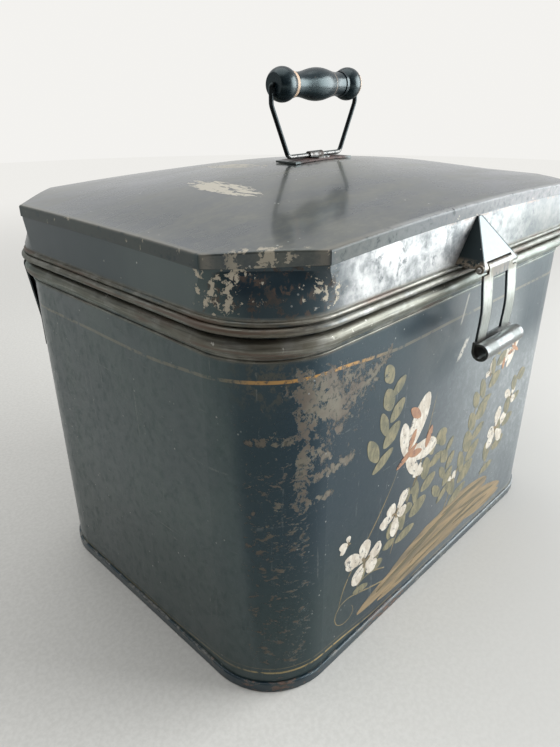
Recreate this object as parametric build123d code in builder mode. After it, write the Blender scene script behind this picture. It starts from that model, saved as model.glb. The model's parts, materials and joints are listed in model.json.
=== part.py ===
from build123d import *

import os
from math import acos, atan2, cos, degrees, hypot, sin, sqrt

# Japanned tinplate deed box: hinged domed lid, swing bail handle and slotted hasp.
#
# Frame: millimetres, +Z up, origin at the middle of the foot, on the surface that the box stands on.
# +X runs along the front, and -Y is the front, with the hasp.

# ---- box ----
box_length = 356.0           # along X, over the body wall
box_width = 258.0            # along Y, over the body wall
corner_radius = 46.0         # outside of the body wall, seen from above
sheet = 0.8                  # tinplate
fit_clearance = 0.06         # all round a pin or a wire that turns
seat_clearance = 0.05        # round rivets, pins and wires that stay put

foot_height = 7.0            # folded seam round the foot
foot_proud = 1.6             # how far the seam stands out from the wall
base_height = 5.0            # underside of the base panel, above the table

bead_height = 236.5          # middle of the swaged bead round the top of the body
bead_radius = 4.6
ridge_drop = 7.4             # fine ridge under the bead, from the bead's middle
ridge_radius = 0.8
neck_height = 10.0           # wall above the bead, inside the lid
hem_height = 5.0             # folded edge at the top of the neck
seam_width = 8.0             # locked seam up the middle of the back
seam_proud = 0.8

# ---- lid ----
lid_gap = 2.0                # shadow line between the bead and the lid
lid_clearance = 1.4          # between the neck and the lid band
lid_depth = 35.5             # from the lid's lower edge to the corners of its top
roll_radius = 2.0            # wired roll at the lower edge
wire_radius = 1.1
step_radius = 1.3            # half-round step above the roll
step_height = 5.5            # middle of the step above the lid's lower edge
flange_height = 7.0          # edge of the top, turned down over the band
band_drop = 1.6              # from the fold down to the band's upper edge, inside the flange
corner_clip = 41.0           # leg of the clipped corners of the top
blend_start = 9.0            # height above the lid's lower edge where the corners turn into clips
blend_height = 19.0
end_arch = 1.7               # rise of the end edges between their corners
front_arch = 5.7             # rise of the long edges between their corners
crown = 13.1                 # further rise of the middle
crown_power = 1.5
fold_radius = 1.2

# ---- hinges ----
hinge_inset = 66.0           # from the end of the box to the middle of a hinge
hinge_length = 34.0
hinge_stand_off = 0.4        # between the lid's roll and the knuckles
leaf = 1.0                   # thickness of the hinge leaves
hinge_pin_radius = 1.1
hinge_pin_length = 37.0
middle_knuckle = 12.0        # length of the lid's knuckle, between the body's two
knuckle_gap = 0.3            # end play between knuckles
knuckle_relief = 0.4         # round a knuckle, where the other leaf is cut away
leaf_drop = 39.5             # from the bead's middle down to where the body leaf meets the wall
leaf_land = 21.0             # height of the part that lies on the wall
body_rivet_drop = 10.0       # from where the leaf meets the wall down to its rivets
leaf_bead_gap = 0.3          # between the body leaf and the bead
leaf_over = 50.0             # degrees that the body leaf follows the bead above its middle
leaf_wrap = 58.0             # degrees that the body leaf follows the corner
leaf_bend = 1.2
leaf_corner = 4.0
stem_root = 2.6              # the body leaf's knuckles branch off this far below the bead's middle
lid_leaf_bend = 7.0          # where the lid leaf bends in, above the lid's lower edge
lid_leaf_land = 10.5         # where it lies against the lid
lid_leaf_rise = 24.0         # top of the lid leaf above the lid's lower edge
rivet_radius = 1.2
rivet_head_radius = 2.3
rivet_head_height = 0.9
rivet_spacing = 16.0
lid_rivet_drop = 7.0         # below the top of the lid leaf

# ---- hasp ----
hood_width = 44.0            # at the bottom
hood_apex = 5.0              # width at the top
hood_height = 26.0           # above the hasp's pin
hood_sheet = 1.0
hood_knuckle = 6.5
hood_relief = 1.3            # round the hasp's knuckle, where the hood is cut away
hasp_reach = 18.0            # from the body wall's face out to the hasp's pin
hasp_pin_height = 7.2        # above the lid's lower edge
hasp_pin_radius = 1.5
hasp_pin_length = 47.0
hasp_sheet = 1.4
hasp_width = 43.0
hasp_leg = 12.4              # width of each leg beside the slot
hasp_slot_top = 5.4          # top of the slot below the pin
hasp_slot_bottom = 42.0      # bottom of the slot below the pin
hasp_bar_drop = 3.3          # full width starts this far below the pin
hasp_bow = 2.2               # how far the legs bow out
hasp_bow_drop = 24.0         # where they stand out most, below the pin
hasp_drop = 49.0             # from the pin down to the middle of the curl
curl_reach = 8.4             # from the pin out to the middle of the curl
curl_radius = 5.5            # rolled finger lift
curl_length = 48.0
curl_mouth = 60.0            # degrees left open where the curl ends

# ---- handle ----
plate_length = 60.0
plate_width = 19.0
plate_thickness = 1.2
plate_bow = 0.75             # the plate's ends are bent down this far over the dome
wire_lift = 0.1              # between the plate and the bail
saddle_width = 14.0
saddle_sheet = 1.0
saddle_foot = 6.4
saddle_bend = 0.6
saddle_corner = 2.0
bail_radius = 1.6
bail_bottom = 27.5           # half distance between its lower corners
bail_top = 43.6              # half distance between the upper parts of its legs
bail_shoulder = 33.5         # from the pivot up to where the legs turn upright
bail_rise = 45.3             # from the pivot to the grip's axis
bail_lower_bend = 4.5
bail_shoulder_bend = 8.0
bail_upper_bend = 2.0
bail_joint_gap = 0.4         # where the wire's two ends meet, in the saddle
grip_length = 82.6
grip_end_radius = 10.8
grip_end_width = 14.5
grip_ring_radius = 8.3       # plain ring beside each end
grip_ring_width = 2.4
grip_face_radius = 7.2       # flat of each end
grip_neck_radius = 7.7
grip_neck_place = 18.5       # from the middle
grip_bulge_radius = 10.5

pin_tip = 0.25               # bevel of a pin's tips, as a share of its radius

# ---- places worked out from the sizes ----
half_length = box_length / 2
half_width = box_width / 2
corner_x = half_length - corner_radius
corner_y = half_width - corner_radius
wall_top = bead_height + bead_radius + neck_height
lid_base = bead_height + bead_radius + lid_gap
band_offset = lid_clearance + sheet              # outside of the lid band, from the body wall
flange_offset = band_offset + sheet
roll_offset = lid_clearance + roll_radius
lid_corner = lid_base + lid_depth
crest = lid_corner + end_arch + front_arch + crown
hinge_bore = hinge_pin_radius + fit_clearance
knuckle_radius = hinge_bore + leaf
knuckle_middle = hinge_bore + leaf / 2
hinge_offset = roll_offset + roll_radius + hinge_stand_off + knuckle_radius
hinge_height = lid_base - lid_gap / 2
hasp_bore = hasp_pin_radius + fit_clearance
hasp_pin_z = lid_base + hasp_pin_height
hood_knuckle_radius = hasp_bore + hood_sheet
pivot_height = crest + seat_clearance + plate_thickness + wire_lift + bail_radius
saddle_bore = bail_radius + fit_clearance
rivet_crown = (rivet_head_radius**2 + rivet_head_height**2) / (2 * rivet_head_height)   # ball on a head

# Section planes across the back and the front: first coordinate outwards from the body wall, second up.
back_side = Plane(origin=(0, half_width, 0), x_dir=(0, 1, 0), z_dir=(1, 0, 0))
front_side = Plane(origin=(0, -half_width, 0), x_dir=(0, -1, 0), z_dir=(-1, 0, 0))


def rounded(grow):
    """Plan of the body, moved outwards by grow."""
    with BuildSketch(mode=Mode.PRIVATE) as plan:
        RectangleRounded(box_length + 2 * grow, box_width + 2 * grow, corner_radius + grow)
    return plan.sketch


def clipped(grow):
    """Plan of the lid's top, with straight clipped corners, moved outwards by grow."""
    with BuildSketch(mode=Mode.PRIVATE) as plan:
        Rectangle(box_length + 2 * grow, box_width + 2 * grow)
        chamfer(plan.vertices(), corner_clip + (2 - sqrt(2)) * grow)
    return plan.sketch


def ring(radius, grow, height):
    """Round bar bent round the body, its middle moved outwards by grow."""
    path = rounded(grow).wire().moved(Location((0, 0, height)))
    with BuildPart() as bar:
        with BuildSketch(back_side):
            with Locations((grow, height)):
                Circle(radius)
        sweep(path=path)
    return bar.part


def tangent_point(point, centre, radius, side):
    """Where a line from a point touches a circle; side is 1 or -1."""
    across, up = point[0] - centre[0], point[1] - centre[1]
    angle = atan2(up, across) + side * acos(radius / hypot(across, up))
    return centre[0] + radius * cos(angle), centre[1] + radius * sin(angle)


def dome_height(x, y):
    """Height of the lid's top: arched edges and a pillowed middle."""
    u = abs(x) / (half_length + flange_offset)
    v = abs(y) / (half_width + flange_offset)
    arches = front_arch * (1 - u**2) + end_arch * (1 - v**2)
    pillow = crown * (1 - u**crown_power) * (1 - v**crown_power)
    return lid_corner + arches + pillow


def dome_block(drop):
    """Everything under the dome's surface, lowered by drop."""
    floor = lid_base - lid_depth
    reach_x = half_length + 2 * flange_offset
    reach_y = half_width + 2 * flange_offset
    stations = [i / 4 for i in range(-4, 5)]
    with BuildPart() as block:
        for along in stations:
            x = reach_x * along
            with BuildSketch(Plane.YZ.offset(x)):
                with BuildLine():
                    top = Spline(*[(reach_y * t, dome_height(x, reach_y * t) - drop) for t in stations])
                    Polyline(top @ 1, (reach_y, floor), (-reach_y, floor), top @ 0)
                make_face()
        loft()
    return block.part


def arched_block(drop):
    """Everything under the arched edges of the lid's top, lowered by drop."""
    floor = lid_base - lid_depth
    with BuildPart() as block:
        for section, half, arch in (
            (Plane.XZ, half_length + flange_offset, front_arch),
            (Plane.YZ, half_width + flange_offset, end_arch),
        ):
            corner = lid_corner - drop
            with BuildSketch(section):
                with BuildLine():
                    edge = ThreePointArc((-half, corner), (0, corner + arch), (half, corner))
                    Polyline(edge @ 1, (half, floor), (-half, floor), edge @ 0)
                make_face()
            extrude(amount=half_length + half_width, both=True)
    return block.part


def rivets(places, grip):
    """Round-headed rivets through grip millimetres of sheet, their heads on the given planes."""
    with BuildPart() as group:
        for place in places:
            with BuildSketch(Plane(place.origin, x_dir=place.x_dir, z_dir=place.y_dir)):
                with BuildLine():
                    head = RadiusArc((0, -rivet_head_height), (rivet_head_radius, 0), -rivet_crown)
                    tail = RadiusArc((rivet_head_radius, grip), (0, grip + rivet_head_height), -rivet_crown)
                    Polyline(head @ 1, (rivet_radius, 0), (rivet_radius, grip), tail @ 0)
                    Line(tail @ 1, head @ 0)
                make_face()
            revolve(axis=Axis(place.origin, place.z_dir))
    return group


def rivet_holes(places):
    """Clearance holes for rivets in the piece that is being made."""
    with Locations(*places):
        Cylinder(rivet_radius + seat_clearance, 4 * rivet_head_radius, mode=Mode.SUBTRACT)


def finish(name, piece):
    piece.part.label = name
    export_step(piece.part, f"parts/{name}.step")


os.makedirs("parts", exist_ok=True)
dome = dome_block(0)
dome_underside = dome_block(sheet)

hinge_x = half_length - hinge_inset
leaf_touch = bead_height - leaf_drop
leaf_foot = leaf_touch - leaf_land
body_rivet_height = leaf_touch - body_rivet_drop
knuckle_centre = (hinge_offset, hinge_height)
hasp_centre = (hasp_reach, hasp_pin_z)
body_rivet_places = [
    Plane(
        (x + side * hinge_x, half_width + seat_clearance + leaf, body_rivet_height),
        x_dir=(1, 0, 0), z_dir=(0, 1, 0),
    )
    for side in (-1, 1)
    for x in (-rivet_spacing / 2, rivet_spacing / 2)
]
lid_rivet_height = lid_base + lid_leaf_rise - lid_rivet_drop
lid_rivet_places = [
    Plane(
        (x + side * hinge_x, half_width + band_offset + seat_clearance + leaf, lid_rivet_height),
        x_dir=(1, 0, 0), z_dir=(0, 1, 0),
    )
    for side in (-1, 1)
    for x in (-rivet_spacing / 2, rivet_spacing / 2)
]
saddle_rivet_y = saddle_bore + saddle_sheet + saddle_foot / 2
saddle_top = crest + seat_clearance + plate_thickness + saddle_sheet
saddle_rivet_places = [Plane((0, y, saddle_top)) for y in (-saddle_rivet_y, saddle_rivet_y)]
saddle_rivet_seat = dome_height(0, saddle_rivet_y + rivet_head_radius) - sheet - 2 * seat_clearance


# ---- body wall: wrapped sheet with a swaged bead, a fine ridge, a hemmed neck and a back seam ----
bead = ring(bead_radius, 0, bead_height)
bead_hollow = ring(bead_radius - sheet, 0, bead_height)
ridge_height = bead_height - ridge_drop
ridge = ring(ridge_radius, 0, ridge_height)
seam_length = ridge_height - 2 * ridge_radius - foot_height
with BuildPart() as body_wall:
    with BuildSketch(Plane.XY.offset(sheet)):
        add(rounded(0))
    extrude(amount=wall_top - sheet)
    add(bead)
    add(ridge)
    with BuildSketch(back_side):
        with Locations((0, foot_height + seam_length / 2)):
            Rectangle(2 * seam_proud, seam_length)
    extrude(amount=seam_width / 2, both=True)
    with BuildSketch(Plane.XY):
        add(rounded(-sheet))
    extrude(amount=wall_top - hem_height, mode=Mode.SUBTRACT)
    with BuildSketch(Plane.XY.offset(wall_top - hem_height)):
        add(rounded(-2 * sheet))
    extrude(amount=hem_height, mode=Mode.SUBTRACT)
    add(bead_hollow, mode=Mode.SUBTRACT)
    rivet_holes(body_rivet_places)
finish("body_wall", body_wall)


# ---- base panel: sunk bottom, folded round the foot of the wall ----
with BuildPart() as base_panel:
    with BuildSketch(Plane.XY):
        add(rounded(foot_proud))
    extrude(amount=foot_height)
    fillet(base_panel.edges().group_by(Axis.Z)[-1], foot_proud * 0.6)
    fillet(base_panel.edges().group_by(Axis.Z)[0], foot_proud * 0.3)
    with BuildSketch(Plane.XY):
        add(rounded(-2 * sheet))
    extrude(amount=base_height, mode=Mode.SUBTRACT)
    with BuildSketch(Plane.XY.offset(base_height + sheet)):
        add(rounded(-2 * sheet))
    extrude(amount=foot_height, mode=Mode.SUBTRACT)
    with BuildSketch(Plane.XY.offset(sheet)):
        add(rounded(0))
        add(rounded(-sheet), mode=Mode.SUBTRACT)
    extrude(amount=foot_height, mode=Mode.SUBTRACT)
finish("base_panel", base_panel)


# ---- hinges ----
bead_centre = (0, bead_height)
bead_follow = bead_radius + leaf_bead_gap + leaf / 2     # middle of the body leaf, round the bead
leaf_leave = (seat_clearance + leaf / 2, leaf_touch)
bead_touch = tangent_point(leaf_leave, bead_centre, bead_follow, 1)
bead_touch_angle = degrees(atan2(bead_touch[1] - bead_height, bead_touch[0]))
stem_share = (bead_height - stem_root - leaf_touch) / (bead_touch[1] - leaf_touch)
stem_start = (leaf_leave[0] + stem_share * (bead_touch[0] - leaf_leave[0]), bead_height - stem_root)
stem_end = tangent_point(stem_start, knuckle_centre, knuckle_middle, 1)
end_knuckle = (hinge_length - middle_knuckle) / 2 - knuckle_gap
end_knuckle_place = (hinge_length - end_knuckle) / 2
inner_edge = hinge_x - hinge_length / 2

with BuildSketch() as body_leaf_section:
    with BuildLine():
        FilletPolyline((leaf_leave[0], leaf_foot), leaf_leave, bead_touch, radius=leaf_bend)
        CenterArc(bead_centre, bead_follow, bead_touch_angle, leaf_over - bead_touch_angle)
    trace(line_width=leaf)

with BuildSketch() as body_knuckle_section:
    with BuildLine():
        Line(stem_start, stem_end)
    trace(line_width=leaf)
    with Locations(knuckle_centre):
        Circle(knuckle_radius)
        Circle(hinge_bore, mode=Mode.SUBTRACT)

lid_stem = hinge_offset - knuckle_middle
lid_leaf_face = band_offset + seat_clearance + leaf / 2
with BuildSketch() as lid_leaf_section:
    with BuildLine():
        FilletPolyline(
            (lid_stem, hinge_height), (lid_stem, lid_base + lid_leaf_bend),
            (lid_leaf_face, lid_base + lid_leaf_land), (lid_leaf_face, lid_base + lid_leaf_rise),
            radius=leaf_bend,
        )
    trace(line_width=leaf)


def make_body_leaf(side):
    """Leaf on the body: flat to the wall below, round the bead, and round the corner of the box."""
    with BuildPart() as piece:
        with BuildSketch(back_side.offset(side * inner_edge)):
            add(body_leaf_section.sketch)
        extrude(amount=side * (corner_x - inner_edge))
        with BuildSketch(back_side.offset(side * corner_x)):
            add(body_leaf_section.sketch)
        revolve(axis=Axis((side * corner_x, corner_y, 0), (0, 0, 1)), revolution_arc=-side * leaf_wrap)
        knuckle_middles = [side * hinge_x + x for x in (-end_knuckle_place, end_knuckle_place)]
        with BuildSketch(*[back_side.offset(x) for x in knuckle_middles]):
            add(body_knuckle_section.sketch)
        extrude(amount=end_knuckle / 2, both=True)
        rivet_holes(body_rivet_places)
    return piece


def make_lid_leaf(side):
    """Leaf on the lid: up outside the roll from its knuckle, then flat against the band."""
    middle = back_side.offset(side * hinge_x)
    with BuildPart() as piece:
        with BuildSketch(middle):
            add(lid_leaf_section.sketch)
        extrude(amount=hinge_length / 2, both=True)
        fillet(piece.edges().filter_by(Axis.Y).group_by(Axis.Z)[-1], leaf_corner)
        with BuildSketch(middle):
            with Locations(knuckle_centre):
                Circle(knuckle_radius + knuckle_relief)
        extrude(amount=hinge_length, both=True, mode=Mode.SUBTRACT)
        with BuildSketch(middle):
            add(lid_leaf_section.sketch)
            with Locations(knuckle_centre):
                Circle(knuckle_radius)
        extrude(amount=middle_knuckle / 2, both=True)
        with BuildSketch(middle):
            with Locations(knuckle_centre):
                Circle(hinge_bore)
        extrude(amount=hinge_length, both=True, mode=Mode.SUBTRACT)
        rivet_holes(lid_rivet_places)
    return piece


def make_pin(section, radius, length):
    """Straight pin with bevelled tips, centred on its section plane."""
    with BuildPart() as piece:
        with BuildSketch(section):
            Circle(radius)
        extrude(amount=length / 2, both=True)
        chamfer(piece.edges().filter_by(GeomType.CIRCLE), radius * pin_tip)
    return piece


for side, name in ((-1, "left"), (1, "right")):
    pin_place = Plane((side * hinge_x, half_width + hinge_offset, hinge_height), z_dir=(1, 0, 0))
    finish(f"hinge_{name}_body_leaf", make_body_leaf(side))
    finish(f"hinge_{name}_lid_leaf", make_lid_leaf(side))
    finish(f"hinge_{name}_pin", make_pin(pin_place, hinge_pin_radius, hinge_pin_length))
finish("body_leaf_rivets", rivets(body_rivet_places, leaf + sheet + seat_clearance))
finish("lid_leaf_rivets", rivets(lid_rivet_places, leaf + sheet + seat_clearance))


# ---- lid band: wired roll, half-round step, and corners that turn from round to clipped ----
wire_height = lid_base + roll_radius
blend_low = lid_base + blend_start
blend_high = blend_low + blend_height


def make_band_core(grow, low):
    """Solid inside the band's outer or inner face, from a height up through the dome."""
    with BuildPart() as core:
        with BuildSketch(Plane.XY.offset(low)):
            add(rounded(grow))
        extrude(amount=blend_low - low)
        with BuildSketch(Plane.XY.offset(blend_low)):
            add(rounded(grow))
        with BuildSketch(Plane.XY.offset(blend_high)):
            add(clipped(grow))
        loft(ruled=True)
        with BuildSketch(Plane.XY.offset(blend_high)):
            add(clipped(grow))
        extrude(amount=crest - blend_high)
    return core.part


roll = ring(roll_radius, roll_offset, wire_height)
roll_bore = ring(wire_radius + seat_clearance, roll_offset, wire_height)
step = ring(step_radius, band_offset, lid_base + step_height)
band_outside = make_band_core(band_offset, wire_height)
band_inside = make_band_core(lid_clearance, lid_base - sheet)
with BuildPart() as lid_band:
    add(band_outside)
    add(arched_block(band_drop), mode=Mode.INTERSECT)
    add(step)
    add(roll)
    add(band_inside, mode=Mode.SUBTRACT)
    add(roll_bore, mode=Mode.SUBTRACT)
    rivet_holes(lid_rivet_places)
finish("lid_band", lid_band)


# ---- wire in the lid's roll ----
with BuildPart() as lid_rim_wire:
    add(ring(wire_radius, roll_offset, wire_height))
finish("lid_rim_wire", lid_rim_wire)


# ---- lid top: domed sheet with its edge folded down over the band ----
with BuildPart() as lid_top_inside:
    with BuildSketch(Plane.XY.offset(lid_base)):
        add(clipped(band_offset))
    extrude(amount=crest)
    add(dome_underside, mode=Mode.INTERSECT)

with BuildPart() as lid_top:
    with BuildSketch(Plane.XY.offset(lid_base)):
        add(clipped(flange_offset))
    extrude(amount=crest)
    add(dome, mode=Mode.INTERSECT)
    add(arched_block(flange_height), mode=Mode.SUBTRACT)
    fillet(lid_top.faces().sort_by(Axis.Z)[-1].outer_wire().edges(), fold_radius)
    add(lid_top_inside.part, mode=Mode.SUBTRACT)
    rivet_holes(saddle_rivet_places)
finish("lid_top", lid_top)


# ---- hasp hood: folded wedge soldered to the lid, with two knuckles for the hasp's pin ----
hood_tip = (band_offset + hood_sheet, hasp_pin_z + hood_height)
hood_touch = tangent_point(hood_tip, hasp_centre, hood_knuckle_radius, -1)
hood_lean = atan2(hood_touch[1] - hasp_pin_z, hood_touch[0] - hasp_reach)
hood_slope = (hood_width - hood_apex) / 2 / hood_height
hood_end_place = (hood_width - hood_knuckle) / 2


def hood_point(inset, along):
    """Point on the hood's front sheet, inset from its outer face, along it from the pin's level."""
    radius = hood_knuckle_radius - inset
    return (
        hasp_reach + radius * cos(hood_lean) - along * sin(hood_lean),
        hasp_pin_z + radius * sin(hood_lean) + along * cos(hood_lean),
    )


def make_hood_wedge(inset, open_by):
    """Wedge with the hood's front and sides moved in by inset, reaching open_by past its open faces."""
    low = hasp_pin_z - open_by
    high = hasp_pin_z + hood_height
    back = band_offset - open_by
    length = (hood_point(inset, 0)[0] - back) / sin(hood_lean)
    side_shift = inset * hypot(1, hood_slope)
    half_low = hood_width / 2 + hood_slope * open_by - side_shift
    half_high = hood_apex / 2 - side_shift
    with BuildPart() as wedge:
        with BuildSketch(front_side):
            with BuildLine():
                Polyline(
                    (back, low), (hasp_reach, low), hood_point(inset, 0), hood_point(inset, length),
                    close=True,
                )
            make_face()
        extrude(amount=hood_width, both=True)
        with BuildSketch(Plane.XZ):
            with BuildLine():
                Polyline(
                    (-half_low, low), (half_low, low), (half_high, high), (-half_high, high), close=True,
                )
            make_face()
        extrude(amount=box_width, mode=Mode.INTERSECT)
    return wedge.part


hood_inside = make_hood_wedge(hood_sheet, hood_knuckle_radius)
with BuildPart() as hasp_hood:
    add(make_hood_wedge(0, 0))
    add(hood_inside, mode=Mode.SUBTRACT)
    with BuildSketch(front_side):
        with Locations(hasp_centre):
            Circle(hood_knuckle_radius + hood_relief)
    extrude(amount=hood_width / 2 - hood_knuckle, both=True, mode=Mode.SUBTRACT)
    with BuildSketch(*[front_side.offset(x) for x in (-hood_end_place, hood_end_place)]):
        with Locations(hasp_centre):
            Circle(hood_knuckle_radius)
    extrude(amount=hood_knuckle / 2, both=True)
    with BuildSketch(front_side):
        with Locations(hasp_centre):
            Circle(hasp_bore)
    extrude(amount=hood_width, both=True, mode=Mode.SUBTRACT)
finish("hasp_hood", hasp_hood)


# ---- hasp: pin, and slotted plate with a rolled finger lift ----
hasp_pin_place = Plane((0, -half_width - hasp_reach, hasp_pin_z), z_dir=(1, 0, 0))
finish("hasp_pin", make_pin(hasp_pin_place, hasp_pin_radius, hasp_pin_length))

hasp_knuckle_radius = hasp_bore + hasp_sheet
hasp_knuckle_length = hood_width - 2 * hood_knuckle - 2 * knuckle_gap
hasp_hang = hasp_reach + hasp_bore + hasp_sheet / 2      # middle of the plate, at the pin's height
curl_centre = (hasp_reach + curl_reach, hasp_pin_z - hasp_drop)
curl_middle = curl_radius - hasp_sheet / 2
bar_top = hasp_pin_z - hasp_bar_drop
curl_top = hasp_pin_z - hasp_drop + curl_radius
slot_top = hasp_pin_z - hasp_slot_top
slot_bottom = hasp_pin_z - hasp_slot_bottom

with BuildSketch(Plane.XZ) as hasp_outline:
    with Locations((0, (hasp_pin_z + bar_top) / 2)):
        Rectangle(hasp_knuckle_length, hasp_pin_z - bar_top)
    with Locations((0, (bar_top + curl_top) / 2)):
        Rectangle(hasp_width, bar_top - curl_top)
    with Locations((0, curl_top - curl_radius)):
        Rectangle(curl_length, 2 * curl_radius)
    with Locations((0, (slot_top + slot_bottom) / 2)):
        Rectangle(hasp_width - 2 * hasp_leg, slot_top - slot_bottom, mode=Mode.SUBTRACT)

with BuildPart() as hasp_plate:
    with BuildSketch(front_side):
        with BuildLine():
            Spline(
                (hasp_hang, hasp_pin_z), (hasp_hang + hasp_bow, hasp_pin_z - hasp_bow_drop),
                (curl_centre[0] - curl_middle, curl_centre[1]), tangents=((0, -1), (0, -1)),
            )
            CenterArc(curl_centre, curl_middle, 180, 360 - curl_mouth)
        trace(line_width=hasp_sheet)
    extrude(amount=curl_length / 2, both=True)
    add(extrude(hasp_outline.sketch, amount=box_width, mode=Mode.PRIVATE), mode=Mode.INTERSECT)
    with BuildSketch(front_side):
        with Locations(hasp_centre):
            Circle(hasp_knuckle_radius)
    extrude(amount=hasp_knuckle_length / 2, both=True)
    with BuildSketch(front_side):
        with Locations(hasp_centre):
            Circle(hasp_bore)
    extrude(amount=hasp_width, both=True, mode=Mode.SUBTRACT)
finish("hasp_plate", hasp_plate)


# ---- handle: plate on the dome, saddle over the wire, bail and turned grip ----
plate_middle = crest + seat_clearance + plate_thickness / 2
with BuildPart() as handle_plate:
    with BuildSketch(Plane.XZ):
        with BuildLine():
            ThreePointArc(
                (-plate_length / 2, plate_middle - plate_bow), (0, plate_middle),
                (plate_length / 2, plate_middle - plate_bow),
            )
        trace(line_width=plate_thickness)
    extrude(amount=plate_width / 2, both=True)
    rivet_holes(saddle_rivet_places)
finish("handle_plate", handle_plate)

saddle_middle = saddle_bore + saddle_sheet / 2
saddle_reach = saddle_bore + saddle_sheet + saddle_foot
foot_middle = saddle_top - saddle_sheet / 2
with BuildPart() as handle_saddle:
    with BuildSketch(Plane.YZ):
        with BuildLine():
            FilletPolyline(
                (-saddle_reach, foot_middle), (-saddle_middle, foot_middle), (-saddle_middle, pivot_height),
                radius=saddle_bend,
            )
            CenterArc((0, pivot_height), saddle_middle, 0, 180)
            FilletPolyline(
                (saddle_middle, pivot_height), (saddle_middle, foot_middle), (saddle_reach, foot_middle),
                radius=saddle_bend,
            )
        trace(line_width=saddle_sheet)
    extrude(amount=saddle_width / 2, both=True)
    feet_corners = handle_saddle.edges().filter_by(Axis.Z).group_by(Axis.Y)
    fillet(feet_corners[0] + feet_corners[-1], saddle_corner)
    rivet_holes(saddle_rivet_places)
finish("handle_saddle", handle_saddle)
finish("saddle_rivets", rivets(saddle_rivet_places, saddle_top - saddle_rivet_seat))

with BuildPart() as handle_bail:
    with BuildLine(Plane((0, 0, pivot_height), x_dir=(1, 0, 0), z_dir=(0, -1, 0))) as bail_line:
        FilletPolyline(
            (bail_joint_gap / 2, 0), (bail_bottom, 0), (bail_top, bail_shoulder), (bail_top, bail_rise),
            (-bail_top, bail_rise), (-bail_top, bail_shoulder), (-bail_bottom, 0), (-bail_joint_gap / 2, 0),
            radius=(
                bail_lower_bend, bail_shoulder_bend, bail_upper_bend,
                bail_upper_bend, bail_shoulder_bend, bail_lower_bend,
            ),
        )
    with BuildSketch(Plane((bail_joint_gap / 2, 0, pivot_height), z_dir=(1, 0, 0))):
        Circle(bail_radius)
    sweep()
finish("handle_bail", handle_bail)

grip_height = pivot_height + bail_rise
grip_end = grip_length / 2
ring_outer = grip_end - grip_end_width
ring_inner = ring_outer - grip_ring_width
with BuildPart() as handle_grip:
    with BuildSketch(Plane((0, 0, grip_height), x_dir=(1, 0, 0), z_dir=(0, -1, 0))):
        with BuildLine():
            Line((0, saddle_bore), (grip_end, saddle_bore))
            Line((grip_end, saddle_bore), (grip_end, grip_face_radius))
            ThreePointArc(
                (grip_end, grip_face_radius), (grip_end - grip_end_width / 2, grip_end_radius),
                (ring_outer, grip_ring_radius),
            )
            Line((ring_outer, grip_ring_radius), (ring_inner, grip_ring_radius))
            Line((ring_inner, grip_ring_radius), (ring_inner, grip_neck_radius))
            Spline(
                (ring_inner, grip_neck_radius), (grip_neck_place, grip_neck_radius), (0, grip_bulge_radius),
                tangents=((-1, 0), (-1, 0)),
            )
            Line((0, grip_bulge_radius), (0, saddle_bore))
        make_face()
        mirror(about=Plane.YZ)
    revolve(axis=Axis((0, 0, grip_height), (1, 0, 0)))
finish("handle_grip", handle_grip)
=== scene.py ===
import json
from math import cos, pi, radians, sin

import bmesh
import bpy
from mathutils import Matrix, Vector


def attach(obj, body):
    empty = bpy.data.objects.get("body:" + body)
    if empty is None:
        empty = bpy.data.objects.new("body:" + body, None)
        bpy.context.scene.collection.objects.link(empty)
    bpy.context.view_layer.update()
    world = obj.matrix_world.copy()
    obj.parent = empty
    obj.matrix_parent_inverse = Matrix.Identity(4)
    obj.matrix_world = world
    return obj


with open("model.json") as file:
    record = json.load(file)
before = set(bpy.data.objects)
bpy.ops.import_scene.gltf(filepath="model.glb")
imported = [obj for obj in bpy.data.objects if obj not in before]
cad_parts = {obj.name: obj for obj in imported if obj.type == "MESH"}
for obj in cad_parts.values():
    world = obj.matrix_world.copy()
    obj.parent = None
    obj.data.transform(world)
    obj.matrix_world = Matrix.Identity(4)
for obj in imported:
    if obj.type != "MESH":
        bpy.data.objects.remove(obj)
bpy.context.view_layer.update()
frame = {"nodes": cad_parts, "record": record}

MM = 0.001

# Millimetres: half the length and width of the box, its round corners, and half of its lid.
HALF_LENGTH, HALF_WIDTH, CORNER_RADIUS = 178, 129, 46
LID_HALF_LENGTH, LID_HALF_WIDTH = 181, 132

# Heights in millimetres of the gold lines under the bead and over the foot.
BEAD_LINE, FOOT_LINE, THIN_LINE = 211.5, 8.8, 12.4


# ---------------------------------------------------------------- colours

JAPAN = (0.0026, 0.0125, 0.0265)
JAPAN_BLACK = (0.008, 0.010, 0.013)
GREEN_JAPAN = (0.0080, 0.0190, 0.0185)
EBONY = (0.003, 0.008, 0.012)
EBONY_GRAIN = (0.016, 0.026, 0.032)
HAZE = (0.054, 0.079, 0.071)
LID_HAZE = (0.130, 0.130, 0.100)
# Colour of the painted highlight on the front of the box.
PAINTED_SHEEN = (0.325, 0.345, 0.350)
INNER_DARK = (0.006, 0.008, 0.010)
INNER_DUST = (0.030, 0.032, 0.030)
# Painted shadow under the lid's flange.
FLANGE_SHADOW = (0.004, 0.004, 0.004)

TAUPE = (0.132, 0.102, 0.080)
PALE_TAUPE = (0.180, 0.158, 0.120)
DARK_TAUPE = (0.040, 0.034, 0.030)
BROWN = (0.075, 0.050, 0.036)
BEIGE = (0.52, 0.46, 0.36)
STAIN = (0.080, 0.062, 0.040)
HAIRLINE = (0.30, 0.30, 0.28)
DARK_GRIT = (0.003, 0.006, 0.009)
PALE_GRIT = (0.22, 0.23, 0.22)
BODY_DUST = (0.34, 0.34, 0.32)
BAND_DUST = (0.5, 0.5, 0.47)
LID_DUST = (0.5, 0.5, 0.46)
HOOD_DUST = (0.5, 0.5, 0.48)
SCUFF = (0.45, 0.42, 0.36)
LID_RUB = (0.56, 0.52, 0.44)

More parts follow.
